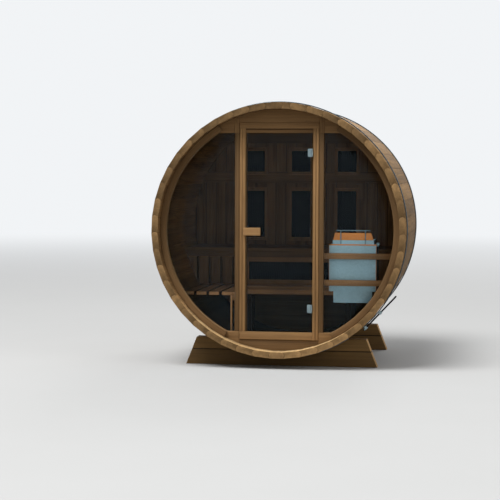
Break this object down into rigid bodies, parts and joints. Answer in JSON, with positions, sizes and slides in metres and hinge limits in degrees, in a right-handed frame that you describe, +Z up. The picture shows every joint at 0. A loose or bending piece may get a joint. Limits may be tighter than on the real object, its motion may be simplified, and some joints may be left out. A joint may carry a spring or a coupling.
{
  "type": "barrel sauna",
  "caption": "Wooden barrel sauna of bead and cove staves on two cradles, with a glazed front, hinged glass door, slatted benches and a heater.",
  "frame": {"origin": "on the ground under the middle of the barrel", "axes": "+Z up, -Y towards the door end, +X to the right seen from the door end"},
  "size_m": [2.0826, 1.8, 2.1613],
  "materials": {
    "stave_wood": "oiled heat-treated wood",
    "frame_wood": "planed heat-treated wood",
    "cradle_wood": "sawn heat-treated wood",
    "bench_wood": "planed, untreated",
    "tinted_glass": "tinted, clear",
    "bright_steel": "satin",
    "dark_steel": "dull",
    "dark_panel": "matt",
    "galvanised_sheet": "galvanised",
    "copper_sheet": "copper coloured",
    "stone": "rough stone"
  },
  "bodies": {
    "cabin": {"shell_base": "stave_wood", "closing_stave": "stave_wood", "shell_right_low": "stave_wood", "shell_right_high": "stave_wood", "shell_left_low": "stave_wood", "shell_left_high": "stave_wood", "window_posts": "frame_wood", "window_rings": "frame_wood", "corner_panels_top": "frame_wood", "corner_panels_bottom": "frame_wood", "curved_trims": "frame_wood", "top_panel": "frame_wood", "bottom_panel": "frame_wood", "door_jambs": "frame_wood", "door_head": "frame_wood", "door_sill": "frame_wood", "side_windows": "tinted_glass", "frame_hinges": "bright_steel", "hoop_bolts": "bright_steel", "hoop_front": "dark_steel", "hoop_rear": "dark_steel", "cradle_lower_boards": "cradle_wood", "cradle_upper_boards": "cradle_wood", "bench_slats": "bench_wood", "bench_fascia": "bench_wood", "calf_frame": "bench_wood", "bench_skirt": "bench_wood", "bench_trestles": "bench_wood", "side_slats": "bench_wood", "side_trestle": "bench_wood", "step_slats": "bench_wood", "step_fascia": "bench_wood", "step_trestles": "bench_wood", "rear_wall": "bench_wood", "back_lining": "bench_wood", "back_panel_trims": "bench_wood", "guard_rails": "bench_wood", "calf_panel": "dark_panel", "back_panels": "dark_panel", "heater_body": "galvanised_sheet", "heater_rail": "galvanised_sheet", "heater_shield": "copper_sheet", "heater_stones": "stone"},
    "door": {"door_glass": "tinted_glass", "door_handle": "frame_wood", "door_handle_inside": "frame_wood", "door_hinges": "bright_steel"}
  },
  "joints": [
    {"name": "door_swing", "type": "hinge", "parent": "cabin", "child": "door", "pos_m": [0.268, -0.8, 1.1], "axis": [0, 0, 1], "range_deg": [0, 100]}
  ]
}
